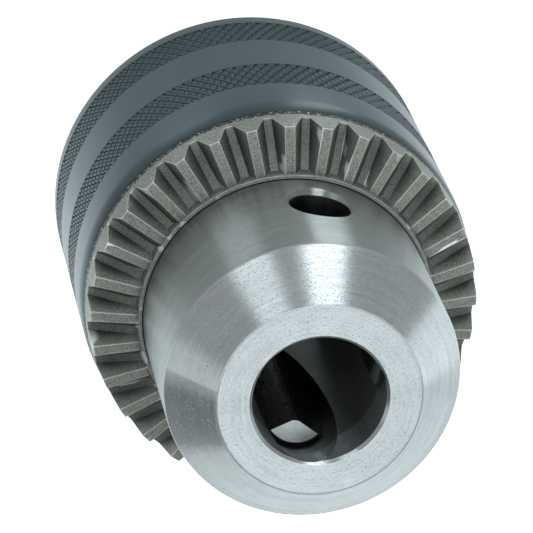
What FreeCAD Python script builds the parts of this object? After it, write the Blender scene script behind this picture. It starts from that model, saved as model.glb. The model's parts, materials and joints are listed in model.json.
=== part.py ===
import FreeCAD, Part
import math
import os

# Keyed three-jaw drill chuck, 13 mm capacity.  Millimetres and degrees.
# Frame: the chuck stands on its rear face with the nose up.  The origin is the
# centre of the rear face and +Z is the axis, towards the nose.
# "Depth" is the distance behind the nose face, and azimuths run from +X
# towards +Y.  Every outline is a list of (radius, depth) corners.

# Overall
BODY_LENGTH = 65.0
SLEEVE_R = 21.45
JAW_COUNT = 3
FIRST_JAW_AZIMUTH = 90.0
FIRST_KEY_AZIMUTH = -90.0

# Body, front part
NOSE_FACE_R = 10.63
NOSE_CONE_DEPTH = 4.65
NOSE_EDGE = 0.12
FRONT_R = 15.45
TOOL_BORE_R = 6.95
TOOL_BORE_CHAMFER = 0.3
TOOL_BORE_DEPTH = 45.5
KEY_HOLE_R = 3.25
KEY_HOLE_MOUTH_R = 3.85
KEY_HOLE_DEPTH = 15.5
KEY_HOLE_FLOOR_R = 10.0
DRILL_POINT_SLOPE = 0.6

# Body, rear part
NUT_GROOVE_R = 12.5
NUT_GROOVE_FRONT = 24.4
RACE_SPIGOT_R = 17.3
RACE_SPIGOT_FRONT = 31.8
BARREL_R = 19.85
BARREL_FRONT = 36.0
BARREL_REAR = 56.5
BARREL_CHAMFER = 0.5
NECK_R = 13.5
NECK_CHAMFER = 0.8
SPINDLE_HOLE_R = 5.75
SPINDLE_HOLE_FLOOR = 48.5
SPINDLE_MOUTH_R = 6.6
SCREW_HOLE_R = 3.3

# Jaws and their ways
JAW_ANGLE = 16.0
JAW_R = 3.95
WAY_R = 4.02
WAY_OUTER_R_AT_NOSE = 7.0
WAY_REAR = 60.0
JAW_TIP_DEPTH = 9.1
JAW_REAR_DEPTH = 51.5
JAW_TIP_CHAMFER = 0.5
JAW_TAIL_R = 19.75
GRIP_R = 6.5
GRIP_LAND = 0.6
GRIP_HALF_ANGLE = 62.0

# Thread between the nut and the jaws; the pitch is measured along a jaw
THREAD_PITCH = 2.0
THREAD_DEPTH = 1.15
THREAD_GAP = 0.15
RIDGE_CREST_WIDTH = 0.6
RIDGE_BASE_WIDTH = 1.1
JAW_THREAD_FRONT = 24.0
JAW_MIDDLE_TURN = 2
THREAD_FIRST_TURN = -1
THREAD_LAST_TURN = 3
THREAD_LAP = 0.02
THREAD_EASE = 0.01

# Split nut
NUT_FRONT = 24.6
NUT_FLANGE_FRONT = 29.8
NUT_REAR = 31.6
NUT_R = 18.2
NUT_FLANGE_R = 19.9
NUT_SPLIT_GAP = 0.1
NUT_SEAT_GAP = 0.1
NUT_EDGE = 0.4

# Gear ring
TEETH = 32
FIRST_TOOTH_AZIMUTH = -81.8
RING_BORE_R = 15.65
LAND_INNER_DEPTH = 21.5
LAND_OUTER_R = 20.9
LAND_OUTER_DEPTH = 22.8
RING_REAR_R = 21.2
RING_REAR = 26.7
RING_SPIGOT_R = 20.0
RING_SPIGOT_REAR = 29.7
ROOT_INNER_R = 16.2
ROOT_INNER_DEPTH = 22.4
ROOT_OUTER_DEPTH = 25.1
ROOT_HALF_WIDTH = 0.44
SLOT_HALF_WIDTH_INNER = 1.1
SLOT_HALF_WIDTH_OUTER = 1.5
SLOT_INNER_LEAN = 0.3

# Grip sleeve
SLEEVE_FRONT = 26.74
SLEEVE_SHOULDER = 29.15
SLEEVE_REAR = 55.3
SLEEVE_BORE_R = 20.0
SLEEVE_REAR_EDGE = 0.4

# Thrust race
RACE_INNER_R = 17.5
FRONT_RACE_R = 19.95
REAR_RACE_R = 19.85
RACE_THICKNESS = 1.4
BALL_R = 0.9
BALL_CIRCLE_R = 18.7
BALL_COUNT = 30
BALL_GAP = 0.05
CAGE_INNER_R = 17.55
CAGE_OUTER_R = 19.85
CAGE_THICKNESS = 0.7

TAN = math.tan(math.radians(JAW_ANGLE))
COS = math.cos(math.radians(JAW_ANGLE))
JAW_AXIS_R_AT_NOSE = WAY_OUTER_R_AT_NOSE - WAY_R / COS
THREAD_LEAD = THREAD_PITCH * COS
RACE_MIDDLE = (NUT_REAR + BARREL_FRONT) / 2
CONE_LENGTH = math.hypot(FRONT_R - NOSE_FACE_R, NOSE_CONE_DEPTH)
CONE_STEP_R = (FRONT_R - NOSE_FACE_R) / CONE_LENGTH
CONE_STEP_DEPTH = NOSE_CONE_DEPTH / CONE_LENGTH
MARGIN = 3.0
SMALL_MARGIN = 1.0

ORIGIN = FreeCAD.Vector(0, 0, 0)
AXIS = FreeCAD.Vector(0, 0, 1)


def turned(outline):
    """Solid of revolution about the chuck's axis."""
    corners = [FreeCAD.Vector(radius, 0, BODY_LENGTH - depth) for radius, depth in outline]
    face = Part.Face(Part.makePolygon(corners + corners[:1]))
    return face.revolve(ORIGIN, AXIS, 360)


def around(shape, azimuth):
    """Copy of a shape turned about the chuck's axis."""
    copy = shape.copy()
    copy.rotate(ORIGIN, AXIS, azimuth)
    return copy


def repeated(shape, count, first_azimuth):
    """Copies of a shape spaced evenly about the chuck's axis."""
    return [around(shape, first_azimuth + index * 360.0 / count) for index in range(count)]


def jaw_axis_r(depth):
    """Radius at which a jaw's axis passes a depth."""
    return JAW_AXIS_R_AT_NOSE + depth * TAN


def jaw_outer_r(depth):
    """Radius of a jaw's outermost line at a depth."""
    return jaw_axis_r(depth) + JAW_R / COS


def on_jaw_axis(shape, depth):
    """Move a shape made along +Z onto the jaw axis, with its base at a depth and its end to the nose."""
    tilt = FreeCAD.Rotation(FreeCAD.Vector(0, 1, 0), -JAW_ANGLE)
    place = FreeCAD.Vector(jaw_axis_r(depth), 0, BODY_LENGTH - depth)
    copy = shape.copy()
    copy.Placement = FreeCAD.Placement(place, tilt)
    return copy


def jaw_way():
    """Inclined round hole that one jaw slides in."""
    length = (WAY_REAR + MARGIN) / COS
    return on_jaw_axis(Part.makeCylinder(WAY_R, length), WAY_REAR)


def key_hole():
    """Radial blind hole with a countersunk mouth for the pilot of a chuck key, along +X."""
    outward = FreeCAD.Vector(1, 0, 0)
    height = BODY_LENGTH - KEY_HOLE_DEPTH
    floor = FreeCAD.Vector(KEY_HOLE_FLOOR_R, 0, height)
    hole = Part.makeCylinder(KEY_HOLE_R, FRONT_R + MARGIN - KEY_HOLE_FLOOR_R, floor, outward)
    point_length = KEY_HOLE_R * DRILL_POINT_SLOPE
    tip = FreeCAD.Vector(KEY_HOLE_FLOOR_R - point_length, 0, height)
    point = Part.makeCone(0, KEY_HOLE_R, point_length, tip, outward)
    mouth_length = KEY_HOLE_MOUTH_R - KEY_HOLE_R + MARGIN
    mouth_base = FreeCAD.Vector(FRONT_R - KEY_HOLE_MOUTH_R + KEY_HOLE_R, 0, height)
    mouth = Part.makeCone(KEY_HOLE_R, KEY_HOLE_R + mouth_length, mouth_length, mouth_base, outward)
    return hole.fuse([point, mouth])


def chuck_body():
    """Turned body with its tool bore, jaw ways, key holes and threaded rear hole."""
    bore_cone_end = TOOL_BORE_DEPTH + (TOOL_BORE_R - SCREW_HOLE_R) * DRILL_POINT_SLOPE
    outline = [
        (TOOL_BORE_R + TOOL_BORE_CHAMFER, 0.0),
        (NOSE_FACE_R - NOSE_EDGE, 0.0),
        (NOSE_FACE_R + NOSE_EDGE * CONE_STEP_R, NOSE_EDGE * CONE_STEP_DEPTH),
        (FRONT_R - NOSE_EDGE * CONE_STEP_R, NOSE_CONE_DEPTH - NOSE_EDGE * CONE_STEP_DEPTH),
        (FRONT_R, NOSE_CONE_DEPTH + NOSE_EDGE),
        (FRONT_R, NUT_GROOVE_FRONT - BARREL_CHAMFER),
        (FRONT_R - BARREL_CHAMFER, NUT_GROOVE_FRONT),
        (NUT_GROOVE_R, NUT_GROOVE_FRONT),
        (NUT_GROOVE_R, RACE_SPIGOT_FRONT),
        (RACE_SPIGOT_R, RACE_SPIGOT_FRONT),
        (RACE_SPIGOT_R, BARREL_FRONT),
        (BARREL_R, BARREL_FRONT),
        (BARREL_R, BARREL_REAR - BARREL_CHAMFER),
        (BARREL_R - BARREL_CHAMFER, BARREL_REAR),
        (NECK_R, BARREL_REAR),
        (NECK_R, BODY_LENGTH - NECK_CHAMFER),
        (NECK_R - NECK_CHAMFER, BODY_LENGTH),
        (SPINDLE_MOUTH_R, BODY_LENGTH),
        (SPINDLE_HOLE_R, BODY_LENGTH - SPINDLE_MOUTH_R + SPINDLE_HOLE_R),
        (SPINDLE_HOLE_R, SPINDLE_HOLE_FLOOR),
        (SCREW_HOLE_R, SPINDLE_HOLE_FLOOR),
        (SCREW_HOLE_R, bore_cone_end),
        (TOOL_BORE_R, TOOL_BORE_DEPTH),
        (TOOL_BORE_R, TOOL_BORE_CHAMFER),
    ]
    ways = repeated(jaw_way(), JAW_COUNT, FIRST_JAW_AZIMUTH)
    key_holes = repeated(key_hole(), JAW_COUNT, FIRST_KEY_AZIMUTH)
    return turned(outline).cut(ways + key_holes)


def grip_wedge():
    """Prism that keeps a jaw outside its two gripping faces and the land between them."""
    reach = BODY_LENGTH
    half_land = GRIP_LAND / 2
    half_angle = math.radians(GRIP_HALF_ANGLE)
    side_x = GRIP_R + reach * math.cos(half_angle)
    side_y = half_land + reach * math.sin(half_angle)
    far_x = side_x + reach
    profile = [
        (GRIP_R, -half_land),
        (side_x, -side_y),
        (far_x, -side_y),
        (far_x, side_y),
        (side_x, side_y),
        (GRIP_R, half_land),
    ]
    corners = [FreeCAD.Vector(x, y, -MARGIN) for x, y in profile]
    face = Part.Face(Part.makePolygon(corners + corners[:1]))
    return face.extrude(FreeCAD.Vector(0, 0, BODY_LENGTH + 2 * MARGIN))


def ridge_depth(azimuth):
    """Depth at which the nut's foremost thread ridge passes an azimuth."""
    return NUT_FRONT + THREAD_LEAD * (0.5 - azimuth / 360.0)


def thread_groove(depth):
    """Ring that clears one ridge of the nut's thread, about the chuck's axis."""
    floor_r = jaw_outer_r(depth) - THREAD_DEPTH - THREAD_GAP
    top_r = jaw_outer_r(depth) + THREAD_GAP
    half_floor = RIDGE_CREST_WIDTH / 2 + THREAD_GAP
    half_top = RIDGE_BASE_WIDTH / 2 + THREAD_GAP
    flare = half_top + (half_top - half_floor) * MARGIN / (top_r - floor_r)
    outline = [
        (floor_r, depth - half_floor),
        (top_r + MARGIN, depth - flare),
        (top_r + MARGIN, depth + flare),
        (floor_r, depth + half_floor),
    ]
    return turned(outline)


def jaw(azimuth):
    """One jaw, fully open.  Its thread matches the nut at this azimuth, so the three jaws differ."""
    body_length = (JAW_REAR_DEPTH - JAW_TIP_DEPTH) / COS - JAW_TIP_CHAMFER
    shank = Part.makeCylinder(JAW_R, body_length)
    tip_base = FreeCAD.Vector(0, 0, body_length)
    tip = Part.makeCone(JAW_R, JAW_R - JAW_TIP_CHAMFER, JAW_TIP_CHAMFER, tip_base, AXIS)
    blank = on_jaw_axis(shank.fuse(tip).removeSplitter(), JAW_REAR_DEPTH)
    tail_limit = Part.makeCylinder(JAW_TAIL_R, BODY_LENGTH + 2 * MARGIN, FreeCAD.Vector(0, 0, -MARGIN))
    shaped = blank.common(grip_wedge()).common(tail_limit)
    middle_depth = ridge_depth(azimuth) + JAW_MIDDLE_TURN * THREAD_LEAD
    first_step = math.ceil((JAW_THREAD_FRONT - middle_depth) / THREAD_LEAD)
    last_step = math.ceil((JAW_REAR_DEPTH - middle_depth) / THREAD_LEAD)
    ring = thread_groove(middle_depth)
    grooves = []
    for step in range(first_step, last_step + 1):
        groove = ring.copy()
        groove.translate(FreeCAD.Vector(step * THREAD_LEAD * TAN, 0, -step * THREAD_LEAD))
        grooves.append(groove)
    return around(shaped.cut(grooves), azimuth)


def thread_piece(first_turn, last_turn, ease):
    """Stretch of the nut's conical right-handed groove, wider towards the axis, in turns from the front."""
    start = NUT_FRONT + first_turn * THREAD_LEAD
    crest_r = jaw_outer_r(start) - THREAD_DEPTH
    root_r = jaw_outer_r(start) + THREAD_GAP
    half_crest = (THREAD_LEAD - RIDGE_CREST_WIDTH) / 2
    half_root = (THREAD_LEAD - RIDGE_BASE_WIDTH) / 2
    flare = (half_crest - half_root) / (root_r - crest_r)
    inside_r = crest_r - THREAD_DEPTH / 2
    half_inside = half_crest + flare * THREAD_DEPTH / 2
    profile = [
        (inside_r - ease, -half_inside - ease),
        (root_r + ease, -half_root - ease),
        (root_r + ease, half_root + ease),
        (inside_r - ease, half_inside + ease),
    ]
    corners = [FreeCAD.Vector(radius, 0, offset) for radius, offset in profile]
    outline = Part.makePolygon(corners + corners[:1])
    slant_length = (last_turn - first_turn) * THREAD_PITCH
    path = Part.Wire(Part.makeHelix(THREAD_PITCH, slant_length, crest_r, JAW_ANGLE))
    groove = path.makePipeShell([outline], True, True)
    groove.rotate(ORIGIN, FreeCAD.Vector(1, 0, 0), 180)
    groove.translate(FreeCAD.Vector(0, 0, BODY_LENGTH - start))
    return around(groove, -360.0 * first_turn)


def thread_pieces():
    """The whole groove: one piece per turn, and a slightly larger short one over each joint between turns."""
    pieces = []
    for turn in range(THREAD_FIRST_TURN, THREAD_LAST_TURN + 1):
        pieces.append(thread_piece(turn + THREAD_LAP, turn + 1 - THREAD_LAP, 0.0))
        pieces.append(thread_piece(turn - 2 * THREAD_LAP, turn + 2 * THREAD_LAP, THREAD_EASE))
    return pieces


def split_nut():
    """The two halves of the flanged nut that carries the jaws' thread."""
    front_crest_r = jaw_outer_r(NUT_FRONT) - THREAD_DEPTH
    rear_crest_r = jaw_outer_r(NUT_REAR) - THREAD_DEPTH
    outline = [
        (front_crest_r, NUT_FRONT),
        (NUT_R - NUT_EDGE, NUT_FRONT),
        (NUT_R, NUT_FRONT + NUT_EDGE),
        (NUT_R, NUT_FLANGE_FRONT),
        (NUT_FLANGE_R, NUT_FLANGE_FRONT),
        (NUT_FLANGE_R, NUT_REAR),
        (rear_crest_r, NUT_REAR),
    ]
    nut = turned(outline)
    for piece in thread_pieces():
        nut = nut.cut(piece)
    size = 4 * NUT_FLANGE_R
    corner = FreeCAD.Vector(NUT_SPLIT_GAP / 2, -size / 2, 0)
    half_space = Part.makeBox(size / 2, size, BODY_LENGTH, corner)
    return nut.common(half_space), nut.common(around(half_space, 180))


def gear_slot():
    """Tapered space between two bevel teeth, along +X."""
    top = LAND_INNER_DEPTH - SMALL_MARGIN
    land_slope = (LAND_OUTER_DEPTH - LAND_INNER_DEPTH) / (LAND_OUTER_R - RING_BORE_R)
    root_slope = (ROOT_OUTER_DEPTH - ROOT_INNER_DEPTH) / (LAND_OUTER_R - ROOT_INNER_R)
    sections = []
    for reach, half_width in ((ROOT_INNER_R, SLOT_HALF_WIDTH_INNER), (LAND_OUTER_R, SLOT_HALF_WIDTH_OUTER)):
        root = ROOT_INNER_DEPTH + root_slope * (reach - ROOT_INNER_R)
        land = LAND_INNER_DEPTH + land_slope * (reach - RING_BORE_R)
        flank = (half_width - ROOT_HALF_WIDTH) / (root - land)
        half_top = ROOT_HALF_WIDTH + flank * (root - top)
        lean = SLOT_INNER_LEAN * (root - top) if reach == ROOT_INNER_R else 0.0
        overshoot = 0.0 if reach == ROOT_INNER_R else SMALL_MARGIN
        root += root_slope * overshoot
        profile = [
            (reach + overshoot, -ROOT_HALF_WIDTH, root),
            (reach + overshoot - lean, -half_top, top),
            (reach + overshoot - lean, half_top, top),
            (reach + overshoot, ROOT_HALF_WIDTH, root),
        ]
        corners = [FreeCAD.Vector(x, y, BODY_LENGTH - depth) for x, y, depth in profile]
        sections.append(Part.makePolygon(corners + corners[:1]))
    return Part.makeLoft(sections, True, True)


def gear_ring():
    """Bevel gear ring that the chuck key drives, with a spigot that fits into the sleeve."""
    outline = [
        (RING_BORE_R, LAND_INNER_DEPTH),
        (LAND_OUTER_R, LAND_OUTER_DEPTH),
        (RING_REAR_R, RING_REAR),
        (RING_SPIGOT_R, RING_REAR),
        (RING_SPIGOT_R, RING_SPIGOT_REAR),
        (NUT_R, RING_SPIGOT_REAR),
        (NUT_R, NUT_FRONT - NUT_SEAT_GAP),
        (RING_BORE_R, NUT_FRONT - NUT_SEAT_GAP),
    ]
    first_slot = FIRST_TOOTH_AZIMUTH + 180.0 / TEETH
    return turned(outline).cut(repeated(gear_slot(), TEETH, first_slot))


def grip_sleeve():
    """Outer sleeve, chamfered in front and eased behind."""
    outline = [
        (SLEEVE_BORE_R, SLEEVE_FRONT),
        (RING_REAR_R, SLEEVE_FRONT),
        (SLEEVE_R, SLEEVE_SHOULDER),
        (SLEEVE_R, SLEEVE_REAR - SLEEVE_REAR_EDGE),
        (SLEEVE_R - SLEEVE_REAR_EDGE, SLEEVE_REAR),
        (SLEEVE_BORE_R + SLEEVE_REAR_EDGE, SLEEVE_REAR),
        (SLEEVE_BORE_R, SLEEVE_REAR - SLEEVE_REAR_EDGE),
    ]
    return turned(outline)


def race_ring(front, outer_r):
    """Flat thrust washer with a shallow track for the balls."""
    outline = [
        (RACE_INNER_R, front),
        (outer_r, front),
        (outer_r, front + RACE_THICKNESS),
        (RACE_INNER_R, front + RACE_THICKNESS),
    ]
    centre = FreeCAD.Vector(0, 0, BODY_LENGTH - RACE_MIDDLE)
    track = Part.makeTorus(BALL_CIRCLE_R, BALL_R + BALL_GAP, centre, AXIS)
    return turned(outline).cut(track)


def ball_cage():
    """Flat ring with a pocket for each ball."""
    outline = [
        (CAGE_INNER_R, RACE_MIDDLE - CAGE_THICKNESS / 2),
        (CAGE_OUTER_R, RACE_MIDDLE - CAGE_THICKNESS / 2),
        (CAGE_OUTER_R, RACE_MIDDLE + CAGE_THICKNESS / 2),
        (CAGE_INNER_R, RACE_MIDDLE + CAGE_THICKNESS / 2),
    ]
    base = FreeCAD.Vector(BALL_CIRCLE_R, 0, BODY_LENGTH - RACE_MIDDLE - MARGIN)
    pocket = Part.makeCylinder(BALL_R + BALL_GAP, 2 * MARGIN, base, AXIS)
    return turned(outline).cut(repeated(pocket, BALL_COUNT, 0.0))


def thrust_balls():
    """All the balls, as separate solids."""
    ball = Part.makeSphere(BALL_R, FreeCAD.Vector(BALL_CIRCLE_R, 0, BODY_LENGTH - RACE_MIDDLE))
    return Part.makeCompound(repeated(ball, BALL_COUNT, 0.0))


def save(node, shape):
    """Write one node's STEP file."""
    shape.exportStep("parts/" + node + ".step")
    print("%-14s solids %2d valid %s volume %9.1f" % (node, len(shape.Solids), shape.isValid(), shape.Volume))


def main():
    os.makedirs("parts", exist_ok=True)
    save("chuck_body", chuck_body())
    for index in range(JAW_COUNT):
        save("jaw_%d" % (index + 1), jaw(FIRST_JAW_AZIMUTH + index * 360.0 / JAW_COUNT))
    nut_half_a, nut_half_b = split_nut()
    save("nut_half_a", nut_half_a)
    save("nut_half_b", nut_half_b)
    save("gear_ring", gear_ring())
    save("grip_sleeve", grip_sleeve())
    save("front_race", race_ring(NUT_REAR, FRONT_RACE_R))
    save("rear_race", race_ring(BARREL_FRONT - RACE_THICKNESS, REAR_RACE_R))
    save("ball_cage", ball_cage())
    save("thrust_balls", thrust_balls())


main()
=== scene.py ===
import json
import math
import random

import bmesh
import bpy
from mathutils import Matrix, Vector


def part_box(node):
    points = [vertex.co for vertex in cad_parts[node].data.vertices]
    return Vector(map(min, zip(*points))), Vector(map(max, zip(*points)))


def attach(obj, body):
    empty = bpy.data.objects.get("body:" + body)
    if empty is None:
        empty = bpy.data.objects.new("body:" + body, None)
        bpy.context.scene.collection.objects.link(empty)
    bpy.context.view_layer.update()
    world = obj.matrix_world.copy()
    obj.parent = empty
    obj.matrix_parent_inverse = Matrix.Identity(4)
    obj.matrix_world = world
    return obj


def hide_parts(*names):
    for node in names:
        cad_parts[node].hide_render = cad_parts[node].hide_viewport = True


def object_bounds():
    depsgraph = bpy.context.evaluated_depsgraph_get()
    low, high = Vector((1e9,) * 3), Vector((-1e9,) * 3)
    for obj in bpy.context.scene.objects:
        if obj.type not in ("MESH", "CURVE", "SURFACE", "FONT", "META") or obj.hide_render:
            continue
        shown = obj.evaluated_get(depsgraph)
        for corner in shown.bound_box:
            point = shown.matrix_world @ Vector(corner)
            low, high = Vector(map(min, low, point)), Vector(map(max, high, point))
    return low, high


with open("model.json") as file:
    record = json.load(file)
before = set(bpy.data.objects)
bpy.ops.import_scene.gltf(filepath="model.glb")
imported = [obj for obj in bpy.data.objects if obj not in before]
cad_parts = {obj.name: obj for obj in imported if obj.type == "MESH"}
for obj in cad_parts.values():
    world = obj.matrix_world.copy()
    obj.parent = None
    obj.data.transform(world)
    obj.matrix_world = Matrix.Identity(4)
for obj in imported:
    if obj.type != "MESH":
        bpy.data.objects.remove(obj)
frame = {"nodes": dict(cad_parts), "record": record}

# Keyed drill chuck standing on its rear face, nose up.  The frame's axis is +Z.
# "Depth" is the distance behind the nose face.  Shapes are in millimetres and the studio is in metres.

MM = 0.001
CAD_LOW, CAD_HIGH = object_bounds()
NOSE_Z = CAD_HIGH.z
SLEEVE_LOW, SLEEVE_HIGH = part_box("grip_sleeve")
RING_LOW, RING_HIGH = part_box("gear_ring")
SLEEVE_R = SLEEVE_HIGH.y / MM
SLEEVE_FRONT = (NOSE_Z - SLEEVE_HIGH.z) / MM
SLEEVE_REAR = (NOSE_Z - SLEEVE_LOW.z) / MM
RING_FRONT = (NOSE_Z - RING_HIGH.z) / MM
RING_SPIGOT_REAR = (NOSE_Z - RING_LOW.z) / MM

# Gear ring
TEETH = 32
FIRST_TOOTH_AZIMUTH = -81.8
RING_BORE_R = 15.53
RING_REAR = 26.7
RING_REAR_R = 21.2
SPIGOT_R = 20.0
NUT_SEAT_R = 18.2
NUT_SEAT_DEPTH = 24.5
LAND_OUTER_R = 20.9
LAND_OUTER_DEPTH = 22.8
ROOT_INNER_R = 16.2
ROOT_INNER_DEPTH = 22.4
ROOT_OUTER_DEPTH = 25.1
ROOT_HALF_WIDTH = 0.44
SLOT_HALF_INNER = 1.1
SLOT_HALF_OUTER = 1.5
WALL_LEAN = 0.3
RADIAL_SHARES = (0.02, 0.2, 0.4, 0.6, 0.8, 0.98)
ROOT_SHARES = (-1.0, -0.8, -0.27, 0.27, 0.8, 1.0)
FLANK_SHARES = (0.07, 0.5, 0.93)
LAND_SHARES = (0.0, 0.07, 0.36, 0.64, 0.93, 1.0)
EDGE_SUPPORT = 0.1
TOOTH_EDGE = 0.06
TOOTH_EDGE_ANGLE = 28
RING_SHARP_ANGLE = 24
RIM_DEPTHS = (25.5, 26.2)
RIM_LIP = 26.56
RIM_GROOVE_DEPTH = 0.35
RAGGED_SEED = 7
RAGGEDNESS = 0.22
UNCHIPPED_SHARE = 0.4
RIM_STAIN = 1.15
RIM_STAIN_WANDER = 0.9
RIM_STAIN_EDGE = 0.12

# Grip sleeve
SLEEVE_BORE_R = 20.0
SLEEVE_FRONT_R = 21.2
SLEEVE_FRONT_EDGE = 0.08
SLEEVE_SHOULDER = 29.15
SHOULDER_REACH = 0.2
SHOULDER_DROP = 0.01
SLEEVE_REAR_EDGE = 0.4
SLEEVE_REAR_CUT = 0.12
SLEEVE_SHARP_ANGLE = 40
KNURL_BANDS = ((34.1, 40.1), (47.5, 53.3))
KNURL_COUNT = 228
KNURL_STEPS = 6
KNURL_ANGLE = 31.3
KNURL_DEPTHS = {-1: (0.38, 0.16), 1: (0.34, 0.06)}
KNURL_GROOVE_HALF = 0.30
ROW_GAP = 0.05

# Depths between which the cone's tone gives way to the barrel's darker, painted-shade tone
CONE_REAR = 4.6
BARREL_FRONT = 4.8

# Tones: a pair is the dark and the light end of a surface's colour
NOSE_TONES = ((0.55, 0.575, 0.58), (0.68, 0.70, 0.705))
NOSE_LINE_TONES = ((0.45, 0.47, 0.475), (0.59, 0.61, 0.615))
# The barrel's tones are darker than the nose's, as painted shade
BARREL_SHADE_TONES = ((0.30, 0.315, 0.305), (0.42, 0.435, 0.42))
PIT = (0.22, 0.23, 0.23)
# Oil and painted shade for bores, holes and corners
OIL_AND_PAINTED_SHADE = (0.03, 0.03, 0.032)
JAW_TONES = ((0.36, 0.37, 0.37), (0.50, 0.51, 0.50))
NUT_TONES = ((0.10, 0.10, 0.10), (0.18, 0.18, 0.18))
BEARING_TONES = ((0.62, 0.63, 0.64), (0.74, 0.75, 0.76))
SINTER_TONES = ((0.28, 0.285, 0.255), (0.39, 0.395, 0.355))
SINTER_PORE = (0.12, 0.12, 0.105)
# Edge colour: rubbed wear with a painted highlight
SINTER_EDGE_WEAR_AND_HIGHLIGHT = (0.95, 0.95, 0.92)
# Painted shade between the teeth and in corners
SINTER_PAINTED_SHADE = (0.03, 0.03, 0.026)
STAIN_TONES = ((0.035, 0.03, 0.025), (0.5, 0.48, 0.42))
PHOSPHATE_TONES = ((0.014, 0.024, 0.028), (0.022, 0.034, 0.039))
PHOSPHATE_SHEEN = (0.70, 0.93, 1.0)
BRASS_TONES = ((0.50, 0.34, 0.12), (0.68, 0.50, 0.22))
FLOOR_TONES = ((0.90, 0.90, 0.90), (0.92, 0.92, 0.92))
FLOOR_GLOW = (0.85, 0.95, 1.0)
BLACK = (0.0, 0.0, 0.0)

# The range that most of a noise's values fall in
NOISE_LOW = 0.3
NOISE_HIGH = 0.7
HOLLOW_SAMPLES = 6

# Camera, found from the ellipses of the nose, ring and sleeve
CAMERA_PLACE = (0.08350, -0.15377, 0.40002)
CAMERA_TURN = (-23.903, -8.715, -170.458)
CAMERA_LENS = 251.7
CAMERA_SENSOR = 36.0
CAMERA_CLIP = 0.01

# Studio
COOL_WHITE = (0.87, 0.97, 1.0)
WORLD_COLOUR = (0.80, 0.83, 0.85)
WORLD_STRENGTH = 0.40
CHUCK_MIDDLE = (0.0, 0.0, 0.055)
FLOOR_REACH = 1.5
REFLECTED_FLOOR_HEIGHT = 0.0005
# Glow of the reflected floor, from its dim side to its bright side, at distances along one direction in mm
FLOOR_DIM = 0.56
FLOOR_BRIGHT = 1.5
FLOOR_BRIGHT_SIDE = (-0.287, 0.958, 0.0)
FLOOR_DIM_AT = -21.4
FLOOR_BRIGHT_AT = 1.8
# Soft lights: name, direction from the chuck's middle, distance, size, watts
LIGHTS = (
    ("overhead", (-0.15, 0.12, 0.98), 0.55, (0.75, 0.75), 1.8),
    ("front_left", (0.55, -0.70, 0.457), 0.50, (0.20, 0.30), 0.27),
    ("front_right", (-0.09, -0.895, 0.426), 0.50, (0.20, 0.30), 0.52),
    ("left_fill", (0.92, 0.27, 0.28), 0.30, (0.10, 0.20), 0.03),
    ("right_fill", (-0.985, -0.05, 0.04), 0.35, (0.18, 0.20), 0.10),
)
# Glowing cards that lie on the floor: name, place, size, glow, turn in degrees
LOW_CARD_AIM_HEIGHT = 1.0
LOW_CARDS = (
    ("low_card_right", (-0.014, -0.065, 0.001), (0.020, 0.05), 2.6, 0),
    ("low_card_left", (0.042, -0.050, 0.001), (0.022, 0.05), 1.3, 40),
)
DARK_CARD_PLACE = (0.21, 0.21, 0.09)
DARK_CARD_SIZE = (0.18, 0.40)
DARK_CARD_SHADE = 0.01


# ---------------------------------------------------------------- meshes

def point(radius, depth, azimuth):
    """Point in metres from a radius and depth in millimetres and an azimuth in radians."""
    return (radius * MM * math.cos(azimuth), radius * MM * math.sin(azimuth), NOSE_Z - depth * MM)


def ring_mesh(name, rows):
    """Closed ring of quads.  Each row of points goes round the axis, and the last row meets the first."""
    mesh = bpy.data.meshes.new(name)
    count = len(rows[0])
    verts = [place for row in rows for place in row]
    faces = []
    for i in range(len(rows)):
        following = (i + 1) % len(rows)
        for j in range(count):
            k = (j + 1) % count
            faces.append((i * count + j, following * count + j, following * count + k, i * count + k))
    mesh.from_pydata(verts, [], faces)
    mesh.validate()
    build = bmesh.new()
    build.from_mesh(mesh)
    bmesh.ops.recalc_face_normals(build, faces=build.faces)
    build.to_mesh(mesh)
    build.free()
    piece = bpy.data.objects.new(name, mesh)
    bpy.context.scene.collection.objects.link(piece)
    return piece


def smooth(piece, angle):
    """Smooth shading, with edges sharper than an angle kept sharp."""
    mesh = piece.data
    mesh.polygons.foreach_set("use_smooth", [True] * len(mesh.polygons))
    mesh.set_sharp_from_angle(angle=math.radians(angle))


def slot_half_width(radius):
    """Half the width of a tooth space where it meets the lands."""
    share = (radius - ROOT_INNER_R) / (LAND_OUTER_R - ROOT_INNER_R)
    return SLOT_HALF_INNER + share * (SLOT_HALF_OUTER - SLOT_HALF_INNER)


def land_depth(radius):
    """Depth of the tooth tops."""
    return RING_FRONT + (radius - RING_BORE_R) * (LAND_OUTER_DEPTH - RING_FRONT) / (LAND_OUTER_R - RING_BORE_R)


def root_depth(radius):
    """Depth of the floor of the tooth spaces."""
    return ROOT_INNER_DEPTH + (radius - ROOT_INNER_R) * (ROOT_OUTER_DEPTH - ROOT_INNER_DEPTH) / (
        LAND_OUTER_R - ROOT_INNER_R)


def outer_r(depth):
    """Radius of the ring's steep outer face."""
    return LAND_OUTER_R + (depth - LAND_OUTER_DEPTH) * (RING_REAR_R - LAND_OUTER_R) / (
        RING_REAR - LAND_OUTER_DEPTH)


def tooth_columns():
    """Columns across one pitch: (kind, share), where share places the column on a root, flank or land."""
    columns = [("root", share) for share in ROOT_SHARES]
    columns += [("flank", share) for share in FLANK_SHARES]
    columns += [("land", share) for share in LAND_SHARES]
    columns += [("fall", share) for share in reversed(FLANK_SHARES)]
    return columns


def column_place(kind, share, radius):
    """Offset from the space's centre in millimetres, and the share of the flank's height."""
    top = slot_half_width(radius)
    if kind == "root":
        return share * ROOT_HALF_WIDTH, 0.0
    if kind == "flank":
        return ROOT_HALF_WIDTH + share * (top - ROOT_HALF_WIDTH), share
    if kind == "fall":
        return -(ROOT_HALF_WIDTH + share * (top - ROOT_HALF_WIDTH)), share
    return top, 1.0


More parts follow.
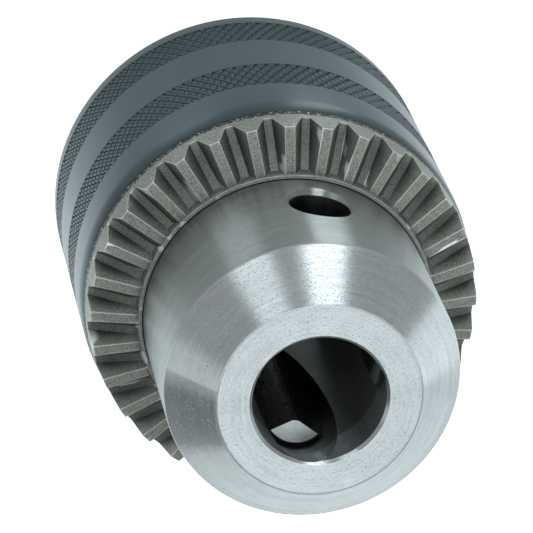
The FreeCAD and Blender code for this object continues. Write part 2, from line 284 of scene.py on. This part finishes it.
def tooth_row(radius_at, depth_at, nominal):
    """Row of points round the ring at a nominal radius.

    radius_at takes the share of a flank's height, and depth_at a nominal radius and that share.
    """
    pitch = 2 * math.pi / TEETH
    first = math.radians(FIRST_TOOTH_AZIMUTH) + pitch / 2
    row = []
    for tooth in range(TEETH):
        for kind, share in tooth_columns():
            offset, height = column_place(kind, share, nominal)
            angle = math.asin(offset / nominal)
            if kind == "land":
                angle += share * (pitch - 2 * angle)
            if kind == "fall":
                angle += pitch
            row.append(point(radius_at(height), depth_at(nominal, height), first + tooth * pitch + angle))
    return row


def level(radius, depth):
    """Row of points at one radius and depth, with the teeth's columns."""
    nominal = min(max(radius, ROOT_INNER_R), LAND_OUTER_R)
    return tooth_row(lambda height: radius, lambda nominal_r, height: depth, nominal)


def tooth_depth(nominal, height):
    """Depth between the root, at height 0, and the land, at height 1."""
    return root_depth(nominal) + height * (land_depth(nominal) - root_depth(nominal))


def gear_ring():
    """Bevel gear ring with eased tooth edges and a ragged rear edge."""
    inner_wall = ROOT_INNER_DEPTH - land_depth(ROOT_INNER_R)
    wall_top_r = ROOT_INNER_R - WALL_LEAN * inner_wall
    rows = [level(RING_BORE_R, RING_FRONT)]
    rows.append(level(RING_BORE_R + EDGE_SUPPORT, land_depth(RING_BORE_R + EDGE_SUPPORT)))
    rows.append(level(wall_top_r - EDGE_SUPPORT, land_depth(wall_top_r - EDGE_SUPPORT)))
    rows.append(tooth_row(
        lambda height: ROOT_INNER_R - WALL_LEAN * height * inner_wall,
        tooth_depth,
        ROOT_INNER_R))
    for share in RADIAL_SHARES:
        nominal = ROOT_INNER_R + (LAND_OUTER_R - ROOT_INNER_R) * share
        rows.append(tooth_row(lambda height: nominal, tooth_depth, nominal))
    for below in (0.0, EDGE_SUPPORT):
        rows.append(tooth_row(
            lambda height: outer_r(tooth_depth(LAND_OUTER_R, height) + below),
            lambda nominal, height: tooth_depth(LAND_OUTER_R, height) + below,
            LAND_OUTER_R))
    rows += [level(outer_r(depth), depth) for depth in RIM_DEPTHS]
    ragged = random.Random(RAGGED_SEED)
    lip = []
    for x, y, z in level(outer_r(RIM_LIP), RIM_LIP):
        drop = RAGGEDNESS * max(0.0, ragged.random() - UNCHIPPED_SHARE)
        lip.append((x, y, z + drop * MM))
    rows.append(lip)
    rows.append(level(outer_r(RIM_LIP) - RIM_GROOVE_DEPTH, RIM_LIP))
    rows.append(level(outer_r(RIM_LIP) - RIM_GROOVE_DEPTH, RING_REAR))
    rows.append(level(SPIGOT_R, RING_REAR))
    rows.append(level(SPIGOT_R, RING_SPIGOT_REAR))
    rows.append(level(NUT_SEAT_R, RING_SPIGOT_REAR))
    rows.append(level(NUT_SEAT_R, NUT_SEAT_DEPTH))
    rows.append(level(RING_BORE_R, NUT_SEAT_DEPTH))
    piece = ring_mesh("gear_ring_detailed", rows)
    edge = piece.modifiers.new("eased_edges", "BEVEL")
    edge.width = TOOTH_EDGE * MM
    edge.segments = 2
    edge.limit_method = "ANGLE"
    edge.angle_limit = math.radians(TOOTH_EDGE_ANGLE)
    piece.modifiers.new("flat_faces", "WEIGHTED_NORMAL").keep_sharp = True
    smooth(piece, RING_SHARP_ANGLE)
    return piece


def knurl_drop(column, row):
    """Depth of the knurl's crossing grooves at a grid point.  Every second groove is a deep one."""
    drop = 0.0
    for direction in (1, -1):
        phase = (column + direction * row) / KNURL_STEPS
        groove = round(phase)
        deepest = KNURL_DEPTHS[direction][groove % 2]
        drop = max(drop, deepest * (1.0 - abs(phase - groove) / KNURL_GROOVE_HALF))
    return drop


def sleeve_rows():
    """(radius, depth, knurl row or None) from the front face round the outside and back through the bore."""
    rows = [(SLEEVE_BORE_R, SLEEVE_FRONT, None), (SLEEVE_FRONT_R - SLEEVE_FRONT_EDGE, SLEEVE_FRONT, None)]
    rows.append((SLEEVE_FRONT_R, SLEEVE_FRONT + SLEEVE_FRONT_EDGE, None))
    rows.append((SLEEVE_R - SHOULDER_DROP, SLEEVE_SHOULDER - SHOULDER_REACH, None))
    rows.append((SLEEVE_R, SLEEVE_SHOULDER, None))
    step = 2 * math.pi * SLEEVE_R / KNURL_COUNT / math.tan(math.radians(KNURL_ANGLE)) / KNURL_STEPS
    for front, rear in KNURL_BANDS:
        rows += [(SLEEVE_R, front - 2 * ROW_GAP, None), (SLEEVE_R, front - ROW_GAP, None)]
        count = int((rear - front) / step)
        rows += [(SLEEVE_R, front + index * step, index) for index in range(count + 1)]
        end = front + count * step
        rows += [(SLEEVE_R, end + ROW_GAP, None), (SLEEVE_R, end + 2 * ROW_GAP, None)]
    rows.append((SLEEVE_R, SLEEVE_REAR - SLEEVE_REAR_EDGE, None))
    rows.append((SLEEVE_R - SLEEVE_REAR_CUT, SLEEVE_REAR - SLEEVE_REAR_CUT, None))
    rows.append((SLEEVE_R - SLEEVE_REAR_EDGE, SLEEVE_REAR, None))
    rows.append((SLEEVE_BORE_R + SLEEVE_REAR_EDGE, SLEEVE_REAR, None))
    rows.append((SLEEVE_BORE_R, SLEEVE_REAR - SLEEVE_REAR_EDGE, None))
    return rows


def grip_sleeve():
    """Sleeve with two bands of real diamond knurl."""
    columns = KNURL_COUNT * KNURL_STEPS
    rows = []
    for radius, depth, knurl_row in sleeve_rows():
        row = []
        for column in range(columns):
            drop = 0.0 if knurl_row is None else knurl_drop(column, knurl_row)
            row.append(point(radius - drop, depth, 2 * math.pi * column / columns))
        rows.append(row)
    piece = ring_mesh("grip_sleeve_knurled", rows)
    smooth(piece, SLEEVE_SHARP_ANGLE)
    return piece


# ---------------------------------------------------------------- materials

class Paint:
    """A node material with a Principled shader and short helpers for its nodes."""

    def __init__(self, name):
        self.material = bpy.data.materials.new(name)
        self.material.use_nodes = True
        self.nodes = self.material.node_tree.nodes
        self.links = self.material.node_tree.links
        self.shader = self.nodes["Principled BSDF"]

    def node(self, kind, **settings):
        made = self.nodes.new(kind)
        for key, value in settings.items():
            setattr(made, key, value)
        return made

    def link(self, output, target):
        self.links.new(output, target)

    def place(self):
        """Object coordinates in millimetres."""
        coordinate = self.node("ShaderNodeTexCoord")
        scaled = self.node("ShaderNodeVectorMath", operation="SCALE")
        scaled.inputs["Scale"].default_value = 1 / MM
        self.link(coordinate.outputs["Object"], scaled.inputs[0])
        return scaled.outputs[0]

    def split(self, place):
        """The x, y and z of a place."""
        made = self.node("ShaderNodeSeparateXYZ")
        self.link(place, made.inputs[0])
        return made.outputs

    def math(self, operation, first, second=None):
        made = self.node("ShaderNodeMath", operation=operation)
        for index, value in enumerate((first, second)):
            if value is None:
                continue
            if isinstance(value, (int, float)):
                made.inputs[index].default_value = value
            else:
                self.link(value, made.inputs[index])
        return made.outputs[0]

    def lathe_place(self, stretch):
        """Radius, angle times stretch, and height, for marks that run round the axis."""
        x, y, z = self.split(self.place())
        radius = self.math("SQRT", self.math("ADD", self.math("MULTIPLY", x, x), self.math("MULTIPLY", y, y)))
        angle = self.math("MULTIPLY", self.math("ARCTAN2", y, x), stretch)
        joined = self.node("ShaderNodeCombineXYZ")
        for index, value in enumerate((radius, angle, z)):
            self.link(value, joined.inputs[index])
        return joined.outputs[0]

    def noise(self, place, scale, detail=3.0, roughness=0.55):
        made = self.node("ShaderNodeTexNoise")
        made.inputs["Scale"].default_value = scale
        made.inputs["Detail"].default_value = detail
        made.inputs["Roughness"].default_value = roughness
        self.link(place, made.inputs["Vector"])
        return made.outputs["Fac"]

    def remap(self, value, low, high, new_low, new_high):
        made = self.node("ShaderNodeMapRange")
        for name, number in (("From Min", low), ("From Max", high), ("To Min", new_low), ("To Max", new_high)):
            made.inputs[name].default_value = number
        self.link(value, made.inputs["Value"])
        return made.outputs["Result"]

    def share(self, value, none, full):
        """0 where a value is at none or before it, and 1 where it is at full or past it."""
        return self.remap(value, none, full, 0.0, 1.0)

    def spread(self, noise, low, high):
        """A noise spread from one value to another."""
        return self.remap(noise, NOISE_LOW, NOISE_HIGH, low, high)

    def blend(self, share, first, second):
        """Colour between two colours, each a tuple or an output."""
        made = self.node("ShaderNodeMix", data_type="RGBA")
        self.link(share, made.inputs["Factor"])
        for name, colour in (("A", first), ("B", second)):
            socket = [s for s in made.inputs if s.name == name and s.type == "RGBA"][0]
            if isinstance(colour, tuple):
                socket.default_value = (*colour, 1.0)
            else:
                self.link(colour, socket)
        return [s for s in made.outputs if s.type == "RGBA"][0]

    def bump(self, height, distance, strength, onto=None):
        """Normal for a height, with the distance in millimetres, on top of another bump's normal."""
        made = self.node("ShaderNodeBump")
        made.inputs["Distance"].default_value = distance * MM
        made.inputs["Strength"].default_value = strength
        self.link(height, made.inputs["Height"])
        if onto is not None:
            self.link(onto, made.inputs["Normal"])
        return made.outputs["Normal"]

    def edges(self, none, full):
        """1 on convex edges and 0 elsewhere."""
        geometry = self.node("ShaderNodeNewGeometry")
        return self.share(geometry.outputs["Pointiness"], none, full)

    def occlusion_shade(self, reach, none, full):
        """Share for painted shade: 0 deep in holes and corners, 1 on open faces."""
        made = self.node("ShaderNodeAmbientOcclusion", samples=HOLLOW_SAMPLES)
        made.inputs["Distance"].default_value = reach * MM
        return self.share(made.outputs["AO"], none, full)

    def set(self, **values):
        """Set or link the shader's sockets by name.  A colour may be given as three numbers."""
        for name, value in values.items():
            socket = self.shader.inputs[name.replace("_", " ")]
            if hasattr(value, "is_linked"):
                self.link(value, socket)
            elif isinstance(value, tuple):
                socket.default_value = (*value, 1.0)
            else:
                socket.default_value = value


def turned_steel():
    """Bright steel with turning lines, pits and light nicks.  The barrel is painted darker as shade, and oil
    and painted shade darken the holes and corners.
    """
    paint = Paint("turned_steel")
    lathe = paint.lathe_place(stretch=0.2)
    lines = paint.noise(lathe, scale=11.0, detail=2.0, roughness=0.6)
    bands = paint.noise(lathe, scale=1.6, roughness=0.6)
    place = paint.place()
    pits = paint.share(paint.noise(place, scale=4.5, detail=4.0, roughness=0.75), none=0.62, full=0.67)
    nicks = paint.share(paint.noise(place, scale=7.0, detail=1.0), none=0.66, full=0.74)
    clouds = paint.noise(place, scale=0.35)
    crests = paint.share(lines, none=0.35, full=0.65)
    nose = paint.blend(crests, paint.blend(clouds, *NOSE_LINE_TONES), paint.blend(clouds, *NOSE_TONES))
    # Painted shade: the barrel is darker than the nose
    barrel = paint.blend(crests, *BARREL_SHADE_TONES)
    depth = paint.math("SUBTRACT", NOSE_Z / MM, paint.split(place)["Z"])
    colour = paint.blend(paint.share(depth, CONE_REAR, BARREL_FRONT), nose, barrel)
    colour = paint.blend(pits, colour, PIT)
    # Oil and painted shade darken the bores, holes, corners and the barrel near the gear ring
    colour = paint.blend(paint.occlusion_shade(reach=11.0, none=0.36, full=0.84), OIL_AND_PAINTED_SHADE, colour)
    pit_roughness = paint.math("MULTIPLY", pits, 0.15)
    rough = paint.math("ADD", paint.spread(bands, low=0.27, high=0.36), pit_roughness)
    normal = paint.bump(lines, distance=0.02, strength=0.3)
    normal = paint.bump(nicks, distance=0.06, strength=1.0, onto=normal)
    paint.set(Base_Color=colour, Metallic=1.0, Roughness=rough, Normal=normal)
    # A quarter turn of the tangent round the axis makes the highlights run along the chuck
    paint.set(Anisotropic=0.9, Anisotropic_Rotation=0.25)
    tangent = paint.node("ShaderNodeTangent", direction_type="RADIAL", axis="Z")
    paint.link(tangent.outputs[0], paint.shader.inputs["Tangent"])
    return paint.material


def ground_steel(name, tones, roughness):
    """Hardened, ground steel with fine scratches along the chuck's axis."""
    paint = Paint(name)
    place = paint.place()
    drawn_out = paint.node("ShaderNodeMapping")
    drawn_out.inputs["Scale"].default_value = (1.0, 1.0, 0.12)
    paint.link(place, drawn_out.inputs["Vector"])
    scratches = paint.noise(drawn_out.outputs[0], scale=7.0, roughness=0.65)
    clouds = paint.noise(place, scale=0.8)
    rough = paint.spread(scratches, low=roughness - 0.06, high=roughness + 0.08)
    normal = paint.bump(scratches, distance=0.008, strength=0.35)
    paint.set(Base_Color=paint.blend(clouds, *tones), Metallic=1.0, Roughness=rough, Normal=normal)
    return paint.material


def sintered_steel():
    """Grainy sintered steel with painted shade between the teeth, rubbed bright with a painted highlight along
    edges, and stained at the rear rim.
    """
    paint = Paint("sintered_steel")
    place = paint.place()
    grain = paint.noise(place, scale=6.5, detail=4.0, roughness=0.7)
    pores = paint.share(paint.noise(place, scale=8.0, roughness=0.6), none=0.46, full=0.64)
    clouds = paint.noise(place, scale=0.5)
    colour = paint.blend(pores, paint.blend(clouds, *SINTER_TONES), SINTER_PORE)
    # Rubbed edges with a painted highlight
    colour = paint.blend(paint.edges(none=0.505, full=0.55), colour, SINTER_EDGE_WEAR_AND_HIGHLIGHT)
    # Painted shade between the teeth and in corners
    colour = paint.blend(paint.occlusion_shade(reach=2.0, none=0.40, full=0.97), SINTER_PAINTED_SHADE, colour)
    wander = paint.math("MULTIPLY", paint.noise(place, scale=2.5, detail=4.0, roughness=0.7), RIM_STAIN_WANDER)
    height = paint.math("ADD", paint.split(place)["Z"], wander)
    stain_top = NOSE_Z / MM - RIM_LIP + RIM_STAIN
    stain = paint.share(height, none=stain_top + RIM_STAIN_EDGE, full=stain_top)
    flecks = paint.share(paint.noise(place, scale=3.2, roughness=0.8), none=0.56, full=0.60)
    colour = paint.blend(stain, colour, paint.blend(flecks, *STAIN_TONES))
    rough = paint.spread(grain, low=0.42, high=0.58)
    normal = paint.bump(grain, distance=0.06, strength=0.7)
    paint.set(Base_Color=colour, Metallic=0.85, Roughness=rough, Normal=normal)
    return paint.material


def phosphated_steel():
    """Oiled blue-black phosphate with a fine grain."""
    paint = Paint("phosphated_steel")
    place = paint.place()
    grain = paint.noise(place, scale=16.0, roughness=0.6)
    clouds = paint.noise(place, scale=0.25)
    rough = paint.spread(grain, low=0.27, high=0.37)
    normal = paint.bump(grain, distance=0.008, strength=0.35)
    paint.set(Base_Color=paint.blend(clouds, *PHOSPHATE_TONES), Metallic=0.0, Roughness=rough, Normal=normal)
    paint.set(IOR=1.62, Specular_Tint=PHOSPHATE_SHEEN)
    return paint.material


def cage_brass():
    """Stamped brass with faint stains."""
    paint = Paint("cage_brass")
    stains = paint.noise(paint.place(), scale=1.2, detail=4.0)
    rough = paint.spread(stains, low=0.30, high=0.45)
    normal = paint.bump(stains, distance=0.01, strength=0.3)
    paint.set(Base_Color=paint.blend(stains, *BRASS_TONES), Metallic=1.0, Roughness=rough, Normal=normal)
    return paint.material


def floor_paint():
    """Even, nearly white studio floor."""
    paint = Paint("studio_floor")
    speckle = paint.noise(paint.place(), scale=0.05, detail=2.0)
    paint.set(Base_Color=paint.blend(speckle, *FLOOR_TONES), Roughness=0.9)
    paint.set(Emission_Color=FLOOR_GLOW, Emission_Strength=0.85)
    return paint.material


def reflected_floor_paint():
    """Black that glows, dimly in front of the chuck and brightly behind it."""
    paint = Paint("reflected_floor_glow")
    towards = paint.node("ShaderNodeVectorMath", operation="DOT_PRODUCT")
    towards.inputs[1].default_value = FLOOR_BRIGHT_SIDE
    paint.link(paint.place(), towards.inputs[0])
    glow = paint.remap(towards.outputs["Value"], FLOOR_DIM_AT, FLOOR_BRIGHT_AT, FLOOR_DIM, FLOOR_BRIGHT)
    paint.set(Base_Color=BLACK, Emission_Color=COOL_WHITE, Emission_Strength=glow)
    return paint.material


def card_paint(name, shade, glow):
    """Matte grey card that may glow."""
    paint = Paint(name)
    paint.set(Base_Color=(shade, shade, shade), Roughness=0.9)
    paint.set(Emission_Color=COOL_WHITE, Emission_Strength=glow)
    return paint.material


def dress(piece, material):
    """Give a piece one material."""
    piece.data.materials.clear()
    piece.data.materials.append(material)


# ---------------------------------------------------------------- studio

def facing(place, aim):
    """Rotation that points an object's -Z axis from a place to an aim."""
    return (Vector(aim) - Vector(place)).to_track_quat("-Z", "Y").to_euler()


def softbox(name, place, aim, size, power):
    """Square-cornered area light that points at a place."""
    data = bpy.data.lights.new(name, "AREA")
    data.shape = "RECTANGLE"
    data.size, data.size_y = size
    data.energy = power
    data.color = COOL_WHITE
    light = bpy.data.objects.new(name, data)
    light.location = place
    light.rotation_euler = facing(place, aim)
    light.visible_camera = False
    bpy.context.scene.collection.objects.link(light)


def flat(name, size, material):
    """Flat rectangle about the origin, in the XY plane."""
    mesh = bpy.data.meshes.new(name)
    half_w, half_h = size[0] / 2, size[1] / 2
    corners = [(-half_w, -half_h, 0), (half_w, -half_h, 0), (half_w, half_h, 0), (-half_w, half_h, 0)]
    mesh.from_pydata(corners, [], [(0, 1, 2, 3)])
    made = bpy.data.objects.new(name, mesh)
    bpy.context.scene.collection.objects.link(made)
    dress(made, material)
    return made


def stage_reflected(made):
    """Stage an object that only the metal's reflections see."""
    made.visible_camera = False
    made.visible_diffuse = False
    made.visible_shadow = False


def card(name, place, aim, size, shade=0.0, glow=0.0, turn=0):
    """Card for the reflections that points at a place and is turned about the vertical by degrees."""
    made = flat(name, size, card_paint(name, shade, glow))
    made.location = place
    made.rotation_euler = facing(place, aim)
    made.rotation_euler.z += math.radians(turn)
    stage_reflected(made)


def floors():
    """The pale floor, and a second one just above it that the reflections see instead."""
    size = (2 * FLOOR_REACH, 2 * FLOOR_REACH)
    floor = flat("floor", size, floor_paint())
    floor.visible_glossy = False
    reflected = flat("reflected_floor", size, reflected_floor_paint())
    reflected.location.z = REFLECTED_FLOOR_HEIGHT
    stage_reflected(reflected)


def studio():
    """Pale floor, soft lights and an even pale surround."""
    floors()
    world = bpy.data.worlds.new("surround")
    world.use_nodes = True
    background = world.node_tree.nodes["Background"]
    background.inputs["Color"].default_value = (*WORLD_COLOUR, 1.0)
    background.inputs["Strength"].default_value = WORLD_STRENGTH
    bpy.context.scene.world = world
    middle = Vector(CHUCK_MIDDLE)
    for name, direction, distance, size, power in LIGHTS:
        softbox(name, middle + distance * Vector(direction), middle, size, power)
    card("dark_card", DARK_CARD_PLACE, middle, DARK_CARD_SIZE, shade=DARK_CARD_SHADE)
    for name, place, size, glow, turn in LOW_CARDS:
        card(name, place, (place[0], place[1], LOW_CARD_AIM_HEIGHT), size, glow=glow, turn=turn)


def camera():
    """The view from above the nose, rolled so that the nose is low in the picture."""
    data = bpy.data.cameras.new("camera")
    data.lens = CAMERA_LENS
    data.sensor_width = CAMERA_SENSOR
    data.clip_start = CAMERA_CLIP
    made = bpy.data.objects.new("camera", data)
    made.location = CAMERA_PLACE
    made.rotation_euler = [math.radians(angle) for angle in CAMERA_TURN]
    bpy.context.scene.collection.objects.link(made)
    bpy.context.scene.camera = made
    bpy.context.scene.view_settings.view_transform = "Standard"


# ---------------------------------------------------------------- the chuck

def main():
    """Set the studio, paint every node and replace two of them with detailed pieces."""
    camera()
    studio()
    finishes = {
        "turned_steel": turned_steel(),
        "jaw_steel": ground_steel("jaw_steel", JAW_TONES, roughness=0.30),
        "nut_steel": ground_steel("nut_steel", NUT_TONES, roughness=0.38),
        "sintered_steel": sintered_steel(),
        "phosphated_steel": phosphated_steel(),
        "bearing_steel": ground_steel("bearing_steel", BEARING_TONES, roughness=0.16),
        "cage_brass": cage_brass(),
    }
    for part in frame["record"]["subparts"]:
        dress(frame["nodes"][part["node"]], finishes[part["material_slot"]])
    detailed = (
        (gear_ring(), "gear_ring", "sintered_steel"),
        (grip_sleeve(), "grip_sleeve", "phosphated_steel"),
    )
    for piece, node, finish in detailed:
        dress(piece, finishes[finish])
        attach(piece, "sleeve_group")
        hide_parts(node)


main()
